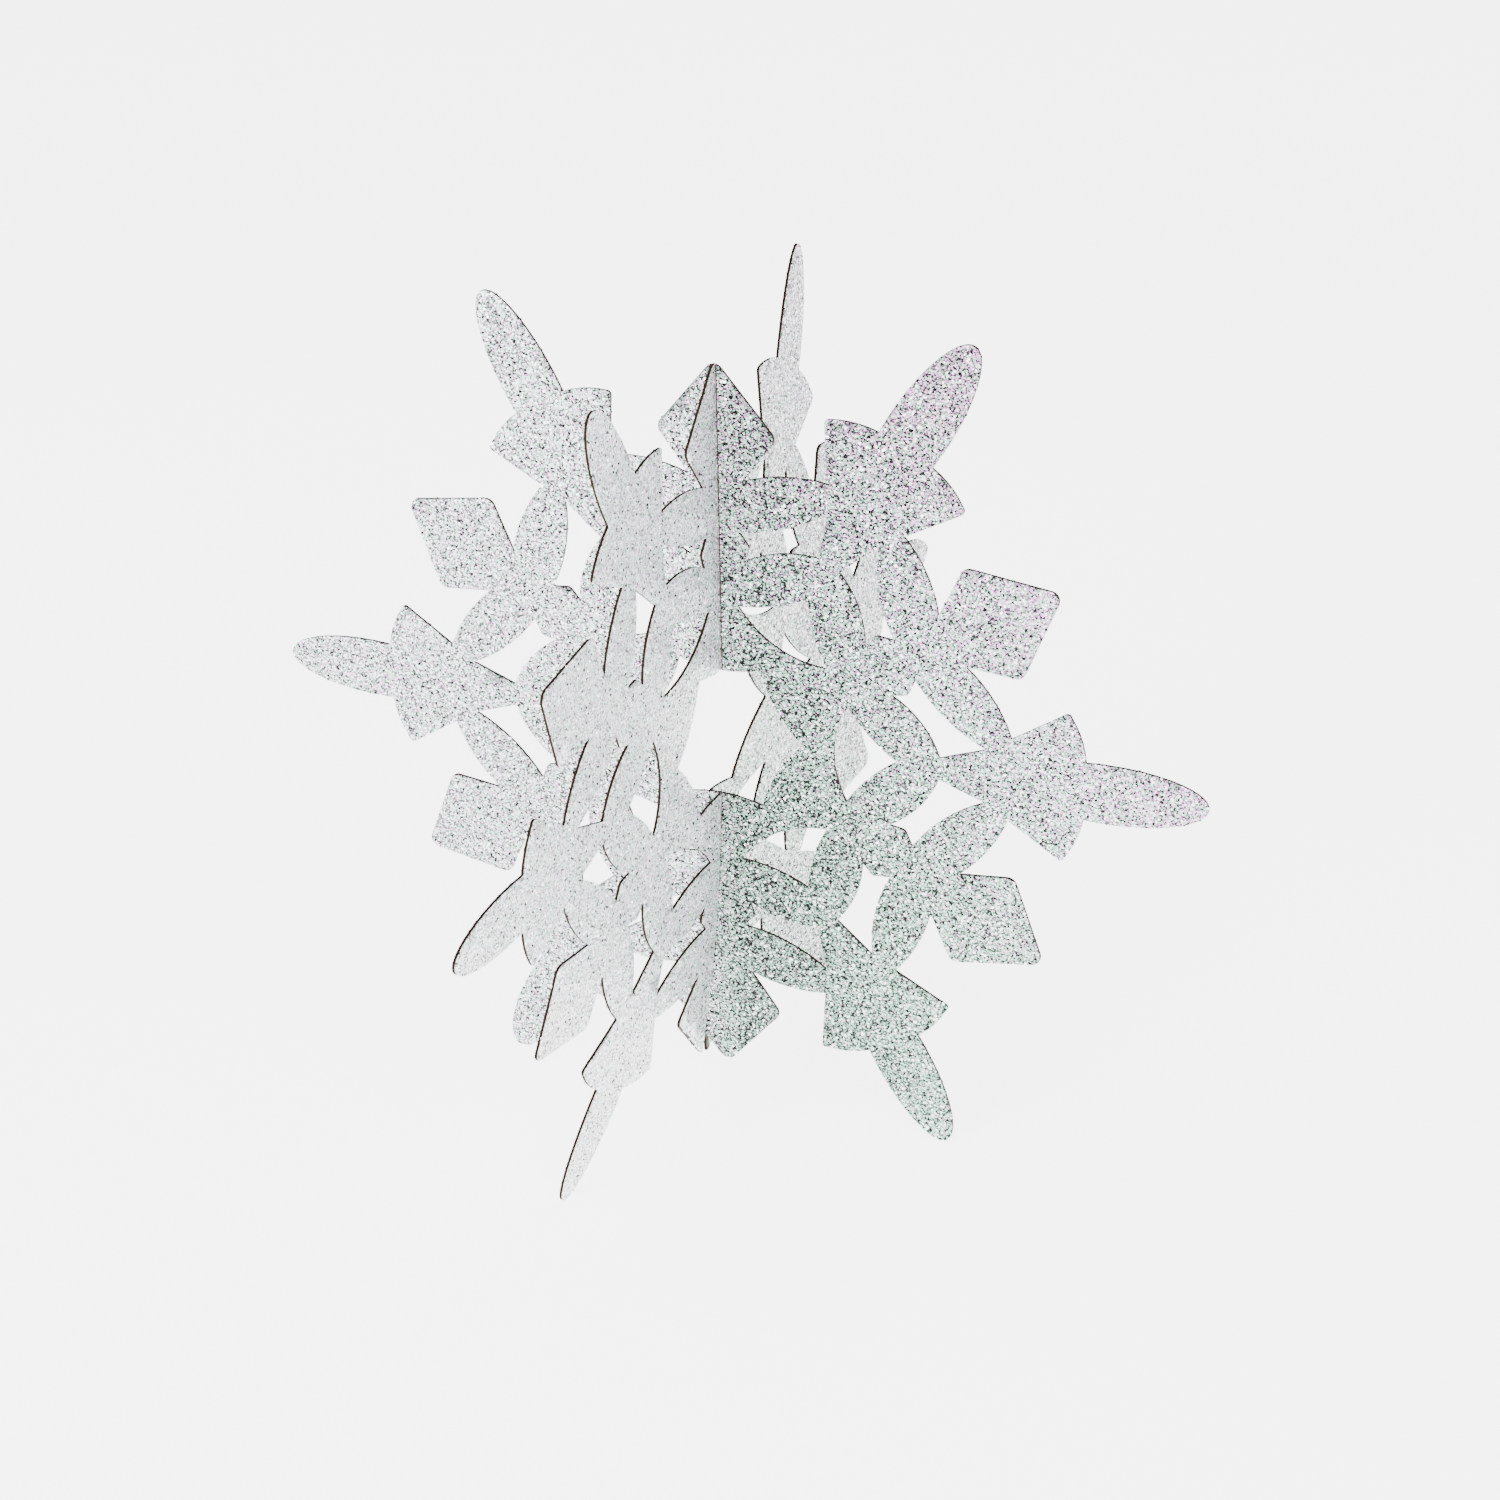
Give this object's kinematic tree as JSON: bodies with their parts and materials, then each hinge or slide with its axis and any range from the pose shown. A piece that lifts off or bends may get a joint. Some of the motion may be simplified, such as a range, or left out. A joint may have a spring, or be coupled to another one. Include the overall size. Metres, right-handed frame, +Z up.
{
  "type": "slotted snowflake star",
  "caption": "Free-standing snowflake star of two die-cut glitter cards slotted together crosswise; the upper card lifts off the lower one.",
  "frame": {"origin": "on the surface the star stands on, straight below the line where the two cards cross", "axes": "+X along the lower card, +Z up along the line where the cards cross; the upper card lies 83 degrees from +X towards +Y"},
  "size_m": [0.267, 0.2652, 0.232],
  "materials": {
    "board_core": "raw dark brown board, seen only as a thin line at the cut edges",
    "glitter_facing": "white iridescent glitter film, fine flakes that flash green, violet and pink"
  },
  "bodies": {
    "lower_card": {"lower_card_board_core": "board_core", "lower_card_front_glitter_facing": "glitter_facing", "lower_card_back_glitter_facing": "glitter_facing"},
    "upper_card": {"upper_card_board_core": "board_core", "upper_card_front_glitter_facing": "glitter_facing", "upper_card_back_glitter_facing": "glitter_facing"}
  },
  "joints": [
    {"name": "upper_card_lift", "type": "slide", "parent": "lower_card", "child": "upper_card", "axis": [0, 0, 1], "range_m": [0, 0.215]}
  ]
}
